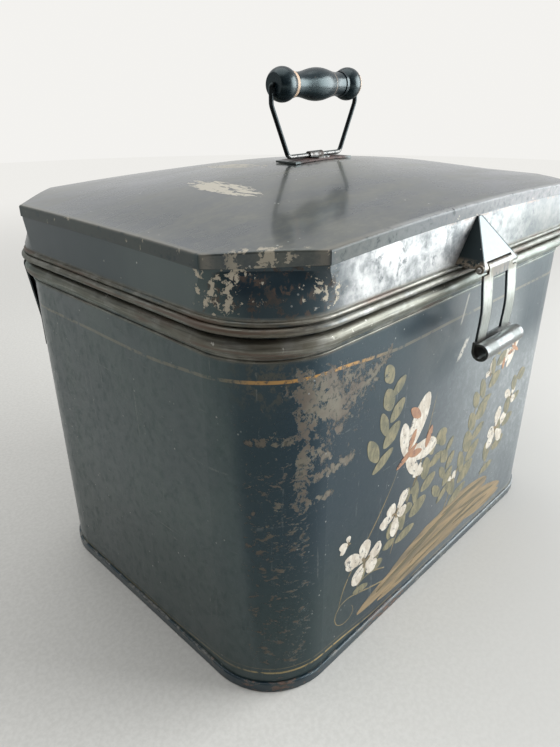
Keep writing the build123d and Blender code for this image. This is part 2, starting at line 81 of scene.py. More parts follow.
TIN = (0.235, 0.224, 0.196)
BRONZE = (0.150, 0.134, 0.102)
SCRATCH = (0.62, 0.60, 0.55)
RUST = (0.115, 0.066, 0.042)
RED_RUST = (0.150, 0.072, 0.045)
SEAM_RUST = (0.230, 0.130, 0.080)

GOLD = (0.46, 0.24, 0.060)
DULL_GOLD = (0.30, 0.24, 0.14)
FOOT_GOLD = (0.38, 0.27, 0.10)
THIN_GOLD = (0.25, 0.18, 0.08)


# ---------------------------------------------------------------- tools for finishes

class Wire:
    """A socket of a finish; arithmetic on a number adds Math nodes."""

    def __init__(self, finish, socket):
        self.finish, self.socket = finish, socket

    def math(self, operation, *terms):
        return self.finish.node("ShaderNodeMath", {"operation": operation}, dict(enumerate(terms)))

    def __add__(self, other):
        return self.math("ADD", self, other)

    def __radd__(self, other):
        return self.math("ADD", other, self)

    def __sub__(self, other):
        return self.math("SUBTRACT", self, other)

    def __rsub__(self, other):
        return self.math("SUBTRACT", other, self)

    def __mul__(self, other):
        return self.math("MULTIPLY", self, other)

    def __rmul__(self, other):
        return self.math("MULTIPLY", other, self)

    def __truediv__(self, other):
        return self.math("DIVIDE", self, other)

    def __rtruediv__(self, other):
        return self.math("DIVIDE", other, self)

    def __pow__(self, other):
        return self.math("POWER", self, other)

    def __rpow__(self, other):
        return self.math("POWER", other, self)

    def __abs__(self):
        return self.math("ABSOLUTE", self)

    def sign(self):
        return self.math("SIGN", self)

    def most(self, other):
        return self.math("MAXIMUM", self, other)

    def least(self, other):
        return self.math("MINIMUM", self, other)

    def rise(self, low, high):
        """0 below low, 1 above high, smooth between; low above high makes a fall."""
        return self.finish.node(
            "ShaderNodeMapRange", {"interpolation_type": "SMOOTHSTEP"},
            {"Value": self, "From Min": low, "From Max": high},
        )

    def strip(self, middle, half, soft):
        """1 within half of middle, fading over soft."""
        return abs(self - middle).rise(half + soft, half)

    def also(self, output):
        """Another output of the same node."""
        return Wire(self.finish, self.socket.node.outputs[output])


class Finish:
    """One material; its place is in millimetres of the object's own frame."""

    def __init__(self, name):
        self.material = bpy.data.materials.new(name)
        self.material.use_nodes = True
        self.tree = self.material.node_tree
        self.tree.nodes.clear()
        metres = self.node("ShaderNodeTexCoord", output="Object")
        self.place = self.node(
            "ShaderNodeVectorMath", {"operation": "SCALE"}, {0: metres, "Scale": 1 / MM},
        )
        self.x = self.node("ShaderNodeSeparateXYZ", None, {0: self.place}, "X")
        self.y = self.x.also("Y")
        self.z = self.x.also("Z")

    def node(self, kind, settings=None, inputs=None, output=0):
        """One node of any type: its settings first, then the values or wires of its sockets."""
        node = self.tree.nodes.new(kind)
        for name, value in (settings or {}).items():
            setattr(node, name, value)
        for key, value in (inputs or {}).items():
            socket = node.inputs[key]
            if isinstance(value, Wire):
                self.tree.links.new(value.socket, socket)
            elif socket.type == "RGBA" and len(value) == 3:
                socket.default_value = (*value, 1)
            else:
                socket.default_value = value
        return Wire(self, node.outputs[output])

    def grained(self, grain, stretch, shift):
        """Place in lumps of grain millimetres; a stretch below 1 draws them out that way."""
        scale = tuple(share / grain for share in stretch)
        return self.node(
            "ShaderNodeMapping", {"vector_type": "POINT"},
            {"Vector": self.place, "Location": shift, "Scale": scale},
        )

    def noise(self, grain, detail=3, rough=0.55, warp=0, stretch=(1, 1, 1), shift=(0, 0, 0)):
        """Cloudy 0 to 1 pattern whose lumps are about grain millimetres."""
        return self.node(
            "ShaderNodeTexNoise", None,
            {"Vector": self.grained(grain, stretch, shift), "Scale": 1, "Detail": detail,
             "Roughness": rough, "Distortion": warp},
        )

    def cells(self, grain, shift):
        """How far it is to the nearest of many scattered points, about grain millimetres apart."""
        return self.node(
            "ShaderNodeTexVoronoi", {"feature": "F1"},
            {"Vector": self.grained(grain, (1, 1, 1), shift), "Scale": 1}, "Distance",
        )

    def near(self, point, reach, core=0):
        """1 within core of the point, 0 farther than reach."""
        gap = self.node(
            "ShaderNodeVectorMath", {"operation": "DISTANCE"}, {0: self.place, 1: point}, "Value",
        )
        return gap.rise(reach, core)

    def mix(self, part, under, over):
        """Colour between under and over."""
        return self.node(
            "ShaderNodeMix", {"data_type": "RGBA"}, {"Factor": part, 6: under, 7: over}, 2,
        )

    def blend(self, part, under, over):
        """Number between under and over."""
        return (over - under) * part + under

    def facing(self, axis):
        """How far the surface faces along one axis of the object, -1 to 1."""
        way = self.node("ShaderNodeTexCoord", output="Normal")
        return self.node("ShaderNodeSeparateXYZ", None, {0: way}, axis)

    def past_arcs(self):
        """How far beyond the middle of the nearest corner's arc, along x and along y."""
        past_x = (abs(self.x) - (HALF_LENGTH - CORNER_RADIUS)).most(0)
        past_y = (abs(self.y) - (HALF_WIDTH - CORNER_RADIUS)).most(0)
        return past_x, past_y

    def outward(self):
        """Millimetres outside the wall of the box, round corners included."""
        past_x, past_y = self.past_arcs()
        return (past_x * past_x + past_y * past_y) ** 0.5 - CORNER_RADIUS

    def oval(self, middle_x, middle_y, half_x, half_y):
        """1 in the middle of an upright oval column, 0 outside it."""
        across, along = (self.x - middle_x) / half_x, (self.y - middle_y) / half_y
        return (across * across + along * along).rise(1, 0.3)

    def rounded_wall(self, share):
        """Surface direction eased towards that of the wall with its round corners."""
        past_x, past_y = self.past_arcs()
        away = self.node(
            "ShaderNodeCombineXYZ", None,
            {"X": past_x * self.x.sign(), "Y": past_y * self.y.sign(), "Z": 0.0},
        )
        away = self.node("ShaderNodeVectorMath", {"operation": "NORMALIZE"}, {0: away})
        away = self.node(
            "ShaderNodeVectorTransform",
            {"vector_type": "NORMAL", "convert_from": "OBJECT", "convert_to": "WORLD"}, {0: away},
        )
        own = self.node("ShaderNodeNewGeometry", output="Normal")
        both = self.node(
            "ShaderNodeMix", {"data_type": "VECTOR"}, {"Factor": share, 4: own, 5: away}, 1,
        )
        return self.node("ShaderNodeVectorMath", {"operation": "NORMALIZE"}, {0: both})

    def surface(self, height, facing=None, **sockets):
        """Principled surface; height is in tenths of a millimetre."""
        inputs = {name.replace("_", " "): value for name, value in sockets.items()}
        inputs.setdefault("Specular Tint", (0.76, 0.97, 1.0))
        raised = {"Strength": 1, "Distance": 0.1 * MM, "Height": height}
        if facing is not None:
            raised["Normal"] = facing
        inputs["Normal"] = self.node("ShaderNodeBump", None, raised, "Normal")
        self.close(self.node("ShaderNodeBsdfPrincipled", None, inputs))
        return self.material

    def close(self, shader):
        """Give the finished shader to the material's output."""
        out = self.tree.nodes.new("ShaderNodeOutputMaterial")
        self.tree.links.new(shader.socket, out.inputs["Surface"])


# ---------------------------------------------------------------- wear that finishes share

def smears(f):
    """Soft cloudy haze wiped across the old varnish."""
    clouds = f.noise(60, 3, 0.55, 0.8, stretch=(1, 1, 0.7))
    wipes = f.noise(26, 3, 0.6, 0.6, stretch=(1, 1, 0.35), shift=(3, 1, 7))
    return clouds.rise(0.35, 0.7) * 0.6 + wipes.rise(0.4, 0.75) * 0.4


def specks(f, grain, size, share, shift=(0, 0, 0)):
    """Tiny separate dots, grain millimetres apart, kept on about a share of the surface."""
    dots = f.cells(grain, shift).rise(size, size * 0.5)
    keep = f.noise(30, 2, 0.5, shift=shift).rise(0.75 - share, 0.85 - share)
    return dots * keep


def rubbed_tin(f, patches, marks, dark, pale, oxide):
    """Bare tinplate of a rubbed bead: patchy, marked along its length, rusty in places."""
    metal = f.mix(patches, BRONZE, TIN)
    metal = f.mix(marks.rise(0.50, 0.66) * 0.65, metal, dark)
    metal = f.mix(marks.rise(0.46, 0.34) * 0.5, metal, pale)
    return f.mix(oxide, metal, RUST)


# ---------------------------------------------------------------- finish of the box

def flaking(f):
    """Where the varnish has come off: a torn patch, scrapes running off it and loose chips."""
    around = f.x - f.y
    patch = (
        f.near((-131, -129, 203), 27, 5)
        + f.near((-147, -126, 208), 22, 2) * 0.65
        + f.near((-111, -129, 188), 22, 2) * 0.50
        + f.near((-98, -129, 206), 24, 3) * 0.55
        + f.near((-138, -128, 170), 24, 2) * 0.55
    ).least(1)
    scrapes = (
        around.strip(-23.5, 2.6, 4) * f.z.strip(180, 40, 8)
        + f.z.strip(184.5, 1.4, 3) * around.strip(-41, 22, 6)
        + f.z.strip(157, 1.8, 3.5) * around.strip(-4, 22, 6)
        + f.z.strip(142, 1.4, 3) * around.strip(-14, 14, 5)
        + (f.z - around * 0.44).strip(190.5, 2.2, 4) * around.strip(32, 17, 6)
        + (f.z + around * 0.6).strip(166, 1.4, 3) * around.strip(-14, 12, 5)
    ).least(1)
    low = around.strip(-42, 20, 14) * f.z.strip(92, 66, 26)

    ragged = f.noise(13, 9, 0.78, 0.4, stretch=(1, 1, 0.85))
    fine = f.noise(3.6, 7, 0.75, 0.2, stretch=(1, 1, 0.9), shift=(6, 6, 2))
    torn = (ragged * 0.58 + fine * 0.42 + patch * 0.175).rise(0.600, 0.616)
    torn = torn * patch.rise(0.02, 0.15)
    islands = f.noise(6, 8, 0.78, 0.5, stretch=(1, 1, 0.8), shift=(9, 2, 6)).rise(0.565, 0.590)
    torn = torn * (1 - islands * 0.9)
    scraped = (ragged * 0.25 + fine * 0.75 + scrapes * 0.125 + patch * 0.03).rise(0.600, 0.622)
    scraped = scraped * scrapes.rise(0.02, 0.2)
    crumbs = (fine + patch * 0.07 + scrapes * 0.05).rise(0.622, 0.640)
    crumbs = crumbs * f.near((-140, -127, 184), 64, 24)
    chips = f.noise(6.5, 8, 0.72, 0.4, stretch=(1, 1, 1.7), shift=(8, 5, 1)) + low * 0.10
    chips = chips.rise(0.664, 0.684) * low.rise(0.02, 0.3)
    grit = (f.noise(2.2, 5, 0.7, shift=(3, 7, 1)) + low * 0.03).rise(0.670, 0.690)
    grit = grit * low.most(patch)

    gone = torn.most(scraped).most(crumbs * 0.9).most(chips).most(grit * 0.8)
    return gone.least(1) * f.y.rise(-72, -90)


def bared_tone(f):
    """Undercoat where the varnish has come off, darker in spots and lower down."""
    tone = f.mix(f.noise(16, 5, 0.6).rise(0.35, 0.7), TAUPE, PALE_TAUPE)
    tone = f.mix(f.noise(4, 4, 0.6).rise(0.56, 0.66) * 0.7, tone, DARK_TAUPE)
    return f.mix(f.z.rise(150, 110) * 0.45, tone, BROWN)


def painted_front_sheen(f, front):
    """Painted highlight on the right of the front, cut back at its upper right as painted shade,
    and where its varnish is dull.
    """
    smudge = f.near((-12, -129, 189), 34, 6)
    smudge = smudge * f.noise(12, 4, 0.6, shift=(6, 1, 2)).rise(0.25, 0.62)
    shaded = front * f.x.rise(62, 110) * f.z.rise(138, 182)
    painted_sheen = f.x.rise(-84, 112) * f.y.rise(-76, -127)
    painted_sheen = painted_sheen * (1 - f.z.rise(180, 222) * 0.85) * (0.54 + f.z.rise(30, 130) * 0.50)
    painted_sheen = painted_sheen * (1 - smudge * 0.7) * (1 - shaded)
    low_right = front * f.z.rise(120, 50) * f.x.rise(0, 70) * 0.4
    return painted_sheen, (smudge * 0.85).most(low_right).most(shaded)


def fine_wear(f, paint, dusty):
    """Stain under the bead, hairline scratches and fine grit over the varnish."""
    stain = f.near((-164, -116, 219), 28, 2) * dusty.rise(0.48, 0.58)
    paint = f.mix(stain * 0.75, paint, STAIN)
    level = f.noise(5, 2, 0.5, 0.1, stretch=(0.08, 0.08, 1.6), shift=(2, 5, 3))
    upright = f.noise(5, 2, 0.5, 0.1, stretch=(1.6, 1.6, 0.07), shift=(8, 8, 1))
    hairs = upright.rise(0.685, 0.71).most(level.rise(0.69, 0.715))
    paint = f.mix(hairs * 0.22 * dusty.rise(0.45, 0.6), paint, HAIRLINE)
    grit = f.noise(1.6, 4, 0.7, shift=(4, 1, 9))
    paint = f.mix(grit.rise(0.5, 0.8) * 0.5, paint, DARK_GRIT)
    return f.mix(grit.rise(0.42, 0.22) * 0.20, paint, PALE_GRIT)


def pinstripe(f, level, half):
    """Thin hand-drawn line at a level, lifting a little round the near corner."""
    lift = f.near((-158, -118, level), 95, 12)
    wobble = f.noise(45, 2, 0.5) * 1.6 - 0.8
    gap = abs(f.z - level - lift * 6.5 - wobble)
    return gap.rise(half + 0.35, half - 0.1)


def pinstripes(f, paint, end, front, outer):
    """Gold lines under the bead and over the foot, dull on the ends and along the front."""
    drawn = f.noise(9, 6, 0.7, shift=(1, 2, 3)).rise(0.62, 0.5) * outer
    dulled = end.most(f.x.rise(-122, -66) * front)
    strength = f.blend(dulled, 1, 0.34)
    under_bead = pinstripe(f, BEAD_LINE, 0.85) * drawn
    paint = f.mix(under_bead * strength, paint, f.mix(dulled, GOLD, DULL_GOLD))
    over_foot = pinstripe(f, FOOT_LINE, 0.6) * drawn
    paint = f.mix(over_foot * 0.9 * strength, paint, FOOT_GOLD)
    thin = pinstripe(f, THIN_LINE, 0.3) * drawn
    return f.mix(thin * 0.35 * strength, paint, THIN_GOLD)


def front_scuffs(f):
    """Two pale marks beside the hasp: a knock with a ragged edge and a short scrape."""
    on_front = f.y.rise(-120, -127)
    knock = abs(f.x - 7.7 - (f.z - 186) * 0.7).rise(3.6, 1.4) * f.z.strip(186, 5, 3) * on_front
    knock = knock * f.noise(2.2, 4, 0.7).rise(0.40, 0.50)
    scrape = abs(f.x - 3.2 + (f.z - 216) * -0.30).rise(1.5, 0.5)
    scrape = scrape * f.z.strip(216, 8, 3) * on_front
    return (knock + scrape * 0.7).least(1)


def body_finish():
    """Japanned sheet of the box: haze, painted highlight and painted shade, pinstripes, worn beads
    and flaked front.
    """
    f = Finish("japan_body")
    out = f.outward()
    outer = out.rise(-0.6, -0.3)
    end = abs(f.x).rise(168, 177.5)
    front = f.y.rise(-120, -128)
    # The near corner, kept darker and less hazy as painted shade.
    corner = f.near((-166, -114, 120), 150, 50) * (abs(f.x) + abs(f.y)).rise(256, 274)
    corner = corner * (f.x - f.y + f.z * 0.06).rise(-68, -54)
    left = (front * f.x.rise(10, -90)).most(corner)
    haze = smears(f) * (1 - corner * 0.6)
    dusty = f.noise(4.5, 6, 0.7, 0.2, stretch=(1, 1, 0.8), shift=(1, 8, 2))
    veil = dusty.rise(0.42, 0.72)
    painted_sheen, dull = painted_front_sheen(f, front)
    flakes = flaking(f) * out.rise(1.4, 0.9) * outer

    # Varnish, from its own blue-black to the haze on it; the ends are paler from haze and from
    # painted reflection.
    clouded = haze * 0.20 + veil * 0.12 * (1 - corner * 0.5)
    end_haze_and_reflection = end * (haze * 0.34 + 0.44) * (1 - f.y.rise(0, 90) * 0.3)
    paint = f.mix(clouded + end_haze_and_reflection, JAPAN, HAZE)
    # Painted shade: the left of the front and the near corner kept blue-black.
    paint = f.mix(left * 0.55, paint, JAPAN)
    paint = f.mix(f.z.rise(130, 50) * f.x.rise(-70, -120) * 0.75, paint, GREEN_JAPAN)
    # Painted highlight: the front made paler towards the right, where the light falls.
    paint = f.mix(painted_sheen * (0.34 + haze * 0.26 + veil * 0.36), paint, PAINTED_SHEEN)
    paint = fine_wear(f, paint, dusty)
    paint = pinstripes(f, paint, end, front, outer)
    paint = f.mix(flakes, paint, bared_tone(f))
    dust = specks(f, 5.5, 0.13, 0.22) * 0.75
    paint = f.mix(dust * out.rise(1.5, 1.0), paint, BODY_DUST)
    paint = f.mix(front_scuffs(f) * outer, paint, SCUFF)

    # Bare metal along the bead and round the foot.
    along = f.noise(7, 5, 0.6, 0.2, stretch=(0.10, 0.10, 1.6))
    blotch = f.noise(14, 5, 0.6, 0.3)
    oxide = along.rise(0.54, 0.66) * 0.85
    marks = f.noise(1.5, 4, 0.65, stretch=(0.035, 0.035, 1), shift=(3, 3, 6))
    metal = rubbed_tin(
        f, blotch.rise(0.45, 0.7), marks, (0.045, 0.036, 0.028), (0.40, 0.385, 0.34), oxide,
    )
    scratches = f.noise(3.2, 4, 0.7, stretch=(1, 1, 0.5), shift=(5, 5, 5)).rise(0.66, 0.70)
    metal = f.mix(scratches * 0.8, metal, SCRATCH)
    rusty = f.near((-160, -118, 0), 70, 10) + f.near((-60, -129, 0), 40, 5) * 0.8
    red = rusty * f.z.rise(8.5, 6) * blotch.rise(0.35, 0.5)
    metal = f.mix(red, metal, RED_RUST)
    bead = f.z.rise(226.5, 229.5) * (along * 0.5 + blotch * 0.5 + out * 0.05).rise(0.36, 0.58)
    foot = f.z.rise(8.4, 6.6) * (blotch + out * 0.10).rise(0.50, 0.72)
    damp = rusty * f.z.rise(6.5, 3.5) * (blotch * 0.6 + along * 0.4).rise(0.42, 0.5)
    bare = bead.most(foot.most(damp) * 0.85)

    colour = f.mix(bare * 0.92, paint, metal)
    inside = f.mix(dusty.rise(0.4, 0.7), INNER_DARK, INNER_DUST)
    colour = f.mix((1 - outer) * 0.8, colour, inside)
    rough = f.blend((haze * 0.3 + veil * 0.3 + painted_sheen * 0.4 + end * 0.3).least(1), 0.27, 0.56)
    rough = f.blend(flakes.most(bare * 0.25), rough, 0.66)
    dents = f.noise(70, 2, 0.5, shift=(7, 7, 7)) * 6
    skin = f.noise(2.2, 3, 0.6) * 0.25
    varnished = (1 - flakes) * (1 - bare) * (1 - left * 0.8) * (1 - dull)
    return f.surface(
        dents + skin - flakes * 1.2,
        Base_Color=colour, Roughness=rough, Metallic=bare * (1 - oxide.most(red)) * 0.5,
        Coat_Weight=varnished * (0.50 - veil * 0.36), Coat_Roughness=0.18,
        Specular_Tint=(0.68, 0.97, 1.0),
    )


def foot_finish():
    """Folded foot and sunk bottom: varnish rubbed grey along the fold, rust where it was damp, and
    a painted highlight along the front of the fold.
    """
    f = Finish("japan_base")
    blotch = f.noise(11, 6, 0.68, 0.3, stretch=(0.5, 0.5, 1), shift=(3, 2, 3))
    fine = f.noise(2.4, 5, 0.7, stretch=(0.4, 0.4, 1), shift=(1, 6, 3))
    fold = f.z.strip(7.2, 1.2, 1.4)
    rub = blotch * 0.6 + fine * 0.4 + fold * 0.07 + f.x.rise(-120, 100) * 0.04
    rub = rub.rise(0.545, 0.640)
    damp = (f.near((-160, -118, 3), 80, 10) + f.near((-58, -130, 3), 46, 8)).least(1)
    red = (blotch * 0.5 + fine * 0.5 + damp * 0.10).rise(0.610, 0.655) * damp.rise(0.05, 0.4)
    rubbed_tone = f.mix(fine.rise(0.4, 0.62), (0.065, 0.058, 0.050), (0.235, 0.230, 0.215))
    rust_tone = f.mix(fine.rise(0.4, 0.6), (0.050, 0.030, 0.022), (0.160, 0.100, 0.075))
    # Painted highlight: a pale blue-grey line along the front of the fold.
    painted_fold_highlight = fold * f.x.rise(-150, -60) * f.facing("Y").rise(0.1, -0.2) * 0.5
    colour = f.mix(blotch.rise(0.3, 0.7) * 0.4, JAPAN, HAZE)
    colour = f.mix(rub * 0.85, colour, rubbed_tone)
    colour = f.mix(red, colour, rust_tone)
    colour = f.mix(painted_fold_highlight, colour, (0.20, 0.22, 0.235))
    worn = rub.most(red)
    return f.surface(
        fine * 0.4 - red * 0.4,
        Base_Color=colour, Roughness=f.blend(worn, 0.34, 0.55), Metallic=rub * (1 - red) * 0.35,
        Coat_Weight=(1 - worn) * 0.35, Coat_Roughness=0.16,
    )


# ---------------------------------------------------------------- finishes of the lid

def lid_band_finish():
    """Lid's side band: dark varnish with painted reflection on its ends, pale along the front from
    rubbing and painted highlight, chipped at the near corner.
    """
    f = Finish("japan_lid_band")
    out = f.outward()
    end = abs(f.x).rise(168, 178)
    front = f.y.rise(-124, -129.5) * f.facing("Y").rise(0.1, -0.2)
    bright = front * f.x.rise(-144, -112)
    mottle = f.noise(16, 6, 0.6, 0.4).rise(0.3, 0.7)
    fine = f.noise(3.5, 4, 0.6, 0.2).rise(0.35, 0.65)

    # Varnish, paler on the ends from haze and from painted reflection.
    paint = f.mix(smears(f) * 0.2 + 0.04 + end * (0.62 - f.y.rise(-80, 20) * 0.42), JAPAN, HAZE)
    # Rubbed through in cloudy patches along the front, pale partly from wear and partly as painted
    # highlight.
    spots = f.noise(9, 6, 0.7, 0.4, shift=(7, 0, 7)).rise(0.55, 0.66) * 0.7
    rubbed = bright * (0.24 + mottle * 0.62 + fine * 0.28) * (1 - spots)
    rubbed_tone = f.mix(f.x.rise(-20, 90), (0.58, 0.58, 0.575), (0.200, 0.196, 0.184))
    paint = f.mix(rubbed * 0.9, paint, rubbed_tone)

    # Brown and pale chips round the near corner.
    corner = f.near((-162, -116, 258), 48, 12)
    ragged = f.noise(6, 8, 0.72, 0.4, stretch=(1, 1, 0.8), shift=(2, 0, 5))
    brown = (ragged + corner * 0.12).rise(0.63, 0.68) * corner.rise(0.05, 0.3)
    paint = f.mix(brown * 0.7, paint, f.mix(fine, (0.060, 0.046, 0.038), RUST))
    below_lid = f.near((-172, -96, 266), 26, 6) + f.near((-136, -126, 262), 20, 3)
    pale = f.noise(4.5, 7, 0.68, 0.3, shift=(6, 1, 0)) + below_lid * 0.16
    pale = pale.rise(0.665, 0.690) * corner.rise(0.02, 0.25)
    paint = f.mix(pale, paint, BEIGE)
    paint = f.mix(specks(f, 6, 0.12, 0.22, (3, 3, 3)) * 0.8, paint, BAND_DUST)

    # Bare metal on the wired roll.
    along = f.noise(6, 5, 0.6, 0.2, stretch=(0.10, 0.10, 1.5), shift=(1, 0, 2))
    blotch = f.noise(12, 5, 0.6, 0.3, shift=(9, 0, 0))
    roll = f.z.rise(252.5, 250.0) * (along * 0.55 + blotch * 0.45 + 0.12).rise(0.44, 0.62)
    oxide = along.rise(0.52, 0.64) * 0.85
    marks = f.noise(1.2, 4, 0.65, stretch=(0.035, 0.035, 1), shift=(6, 3, 3))
    metal = rubbed_tin(
        f, blotch.rise(0.42, 0.68), marks, (0.045, 0.034, 0.026), (0.38, 0.36, 0.31), oxide,
    )
    colour = f.mix(roll * 0.9, paint, metal)

    # Rusty line and painted shadow line just under the lid's flange, which bows with the dome.
    bow_along = 1 - f.x * f.x / LID_HALF_LENGTH ** 2
    bow_across = 1 - f.y * f.y / LID_HALF_WIDTH ** 2
    under = 271.6 - f.z + 5.7 * bow_along + 1.7 * bow_across
    rust_line = under.strip(1.3, 0.4, 0.8) * (along * 0.5 + fine * 0.3).rise(0.34, 0.48)
    rust_line = rust_line * front * f.x.rise(-80, 10)
    colour = f.mix(rust_line * 0.7, colour, SEAM_RUST)
    colour = f.mix(under.strip(0.2, 0.35, 0.35) * 0.85, colour, FLANGE_SHADOW)

    bare = (roll * 0.5 * (1 - oxide)).most(rubbed * (0.60 - f.x.rise(20, 130) * 0.42))
    bare = bare * (1 - rust_line)
    chipped = pale.most(brown)
    rough = f.blend(bright * 0.5 + mottle * 0.2 + f.x.rise(0, 130) * 0.3, 0.32, 0.56)
    rough = f.blend(chipped.most(end * f.y.rise(-90, 10) * 0.8), rough, 0.65)
    rounded = f.z.rise(271, 255) * out.rise(-30, -26) * f.z.rise(250.5, 252.5)
    varnished = (1 - chipped) * (1 - roll) * (1 - f.x.rise(10, 100) * front * 0.55)
    skin = f.noise(2.5, 3, 0.6) * 0.3 + f.noise(30, 2, 0.5) * 3
    return f.surface(
        skin - pale * 0.8, f.rounded_wall(rounded * 0.9),
        Base_Color=colour, Roughness=rough, Metallic=bare,
        Coat_Weight=varnished * 0.45, Coat_Roughness=0.16,
    )


def pale_rubs(f):
    """Two long rubs on the left of the lid, dragged from side to side."""
    drag = f.noise(7, 6, 0.70, 0.5, stretch=(1.9, 0.55, 1))
    first = (drag + f.oval(-100, -15, 13, 42) * 0.22).rise(0.665, 0.69)
    first = first * f.oval(-100, -15, 15, 44).rise(0, 0.3)
    second = (drag + f.oval(-46, 36, 11, 40) * 0.21).rise(0.660, 0.69)
    second = second * f.oval(-46, 36, 13, 42).rise(0, 0.3)
    return (first + second * 0.8).least(1)


def lid_top_finish():
    """Glossy top with fine streaks and pale rubs, and its flange turned down over the band."""
    f = Finish("japan_lid_top")
    out = f.outward()
    upper = f.facing("Z").rise(-0.2, 0.1)
    end = abs(f.x).rise(168, 178)
    front = f.y.rise(-124, -131)
    haze = f.noise(75, 3, 0.55, 0.6).rise(0.3, 0.7)
    streaks = f.noise(18, 5, 0.6, 0.3, stretch=(0.25, 1, 1), shift=(0, 4, 0))
    dust = f.noise(3.2, 6, 0.72, 0.2, stretch=(0.5, 1, 1), shift=(0, 1, 5))

    # Top sheet.
    cloud = haze * 0.28 + f.oval(10, 10, 120, 90) * 0.28
    cloud = cloud + streaks.rise(0.42, 0.68) * 0.32 + dust.rise(0.4, 0.75) * 0.30
    paint = f.mix(cloud * (0.3 + upper * 0.7), JAPAN, LID_HAZE)
    rub = pale_rubs(f) * upper
    paint = f.mix(rub * 0.85, paint, LID_RUB)
    paint = f.mix(specks(f, 7, 0.10, 0.20, (1, 6, 2)) * 0.8, paint, LID_DUST)
    paint = f.mix(specks(f, 8, 0.14, 0.28, (4, 8, 2)) * 0.8, paint, (0.012, 0.012, 0.014))

    # Flange, its rubbed fold and the chips at the near corner, with painted highlight on the front
    # of the flange and fold.
    rim = f.noise(6, 7, 0.68, 0.3, shift=(3, 3, 3))
    edge = out.rise(1.6, 2.4)
    fold = out.rise(-1.6, 1.2) * out.rise(3.4, 2.3) * (rim + 0.14).rise(0.46, 0.60)
    chord = f.near((-160, -112, 275), 34, 8)
    clip = (abs(f.x) + abs(f.y) * 1.08).rise(268, 275)
    chip = (rim + chord * 0.12).rise(0.63, 0.67) * edge.most(clip * chord * 0.8)
    # Painted highlight: the front of the flange paler towards the right.
    mottled = front * rim.rise(0.36, 0.62) * (0.40 + f.x.rise(-70, 90) * 0.6)
    flange = f.mix(haze * 0.3 + rim * 0.2 + end * 0.2, JAPAN, HAZE)
    flange = f.mix(mottled, flange, (0.105, 0.098, 0.108))
    flange = f.mix(front * (1 - rim).rise(0.56, 0.66) * 0.7, flange, (0.006, 0.006, 0.008))
    paint = f.mix(edge, paint, flange)
    # The fold is rubbed, and paler along the front as painted highlight.
    fold_tone = f.mix(front * f.x.rise(-130, -60), (0.25, 0.225, 0.185), (0.50, 0.50, 0.50))
    paint = f.mix(fold * 0.5, paint, fold_tone)
    paint = f.mix(chip * 0.9, paint, BEIGE)

    bared = chip.most(rub)
    rough = f.blend(haze * 0.5 + dust * 0.5, 0.18, 0.36)
    rough = f.blend(streaks.rise(0.42, 0.66) * 0.7, rough, 0.38)
    rough = f.blend(bared.most(fold * 0.5).most(edge * front.most(end) * 0.9), rough, 0.62)
    return f.surface(
        f.noise(3, 3, 0.6) * 0.12 + f.noise(45, 2, 0.5) * 4,
        Base_Color=paint, Roughness=rough, Metallic=fold * 0.3,
        Coat_Weight=(1 - bared) * (1 - edge * 0.8) * 0.5, Coat_Roughness=0.10,
        Specular_Tint=(0.88, 1.0, 0.97),
    )


# ---------------------------------------------------------------- finishes of the fittings

def hinge_finish():
    """Japanned hinge leaves, rubbed through where hands and edges meet."""
    f = Finish("japan_hinges")
    rub = f.noise(6, 6, 0.65, 0.2, shift=(5, 2, 3)).rise(0.585, 0.725)
    haze = f.noise(22, 3, 0.5, 0.3, shift=(5, 0, 0)).rise(0.3, 0.7)
    rust = f.noise(3, 4, 0.6, shift=(0, 5, 0)).rise(0.5, 0.65)
    colour = f.mix(haze * 0.3, JAPAN_BLACK, HAZE)
    colour = f.mix(rub * 0.9, colour, f.mix(rust * 0.6, BRONZE, RUST))
    return f.surface(
        f.noise(1.8, 3, 0.6) * 0.3,
        Base_Color=colour, Roughness=f.blend(rub, 0.32, 0.45), Metallic=rub * 0.7,
        Coat_Weight=(1 - rub) * 0.4, Coat_Roughness=0.15,
    )


def bare_metal(name, tone, stain, seed, rough=0.34, stained=0.5):
    """Bare or tinned metal with darker oxide stains."""
    f = Finish(name)
    spot = f.noise(5, 6, 0.65, 0.3, shift=(seed, 1, 0))
    spot = spot.rise(0.62 - stained * 0.25, 0.78 - stained * 0.25)
    fine = f.noise(0.9, 3, 0.6, stretch=(0.2, 1, 1), shift=(0, seed, 0))
    colour = f.mix(spot * 0.85, tone, stain)
    colour = f.mix(fine.rise(0.45, 0.75) * 0.3, colour, tuple(c * 0.5 for c in tone))
    return f.surface(
        fine * 0.3 + spot * 0.2,
        Base_Color=colour, Roughness=f.blend(spot, rough, rough + 0.2),
        Metallic=f.blend(spot, 0.95, 0.55),
    )


def plate_finish():
    """Strap under the handle: rusty between the wire's ends, japanned like the lid beyond them."""
    f = Finish("rusty_plate")
    wear = f.noise(5, 6, 0.65, 0.2, shift=(7, 2, 3))
    rusty = (abs(f.x) + wear * 12).rise(34, 27)
    rust_tone = f.mix(wear.rise(0.4, 0.6), (0.050, 0.021, 0.018), (0.095, 0.045, 0.036))
    return f.surface(
        wear * 0.4,
        Base_Color=f.mix(rusty, (0.060, 0.066, 0.062), rust_tone),
        Roughness=f.blend(rusty, 0.34, 0.55), Metallic=rusty * 0.2,
    )


def bail_finish():
    """Black iron wire, rubbed bright where it turns in the saddle."""
    f = Finish("black_wire")
    wear = f.noise(3, 5, 0.65, 0.2)
    in_saddle = f.z.rise(304.6, 303.2)
    bright = (wear + in_saddle * 0.30).rise(0.66, 0.74)
    return f.surface(
        wear * 0.6,
        Base_Color=f.mix(bright, (0.010, 0.011, 0.012), (0.15, 0.145, 0.14)),
        Roughness=f.blend(bright, 0.34, 0.42), Metallic=f.blend(bright, 0.55, 0.90),
    )


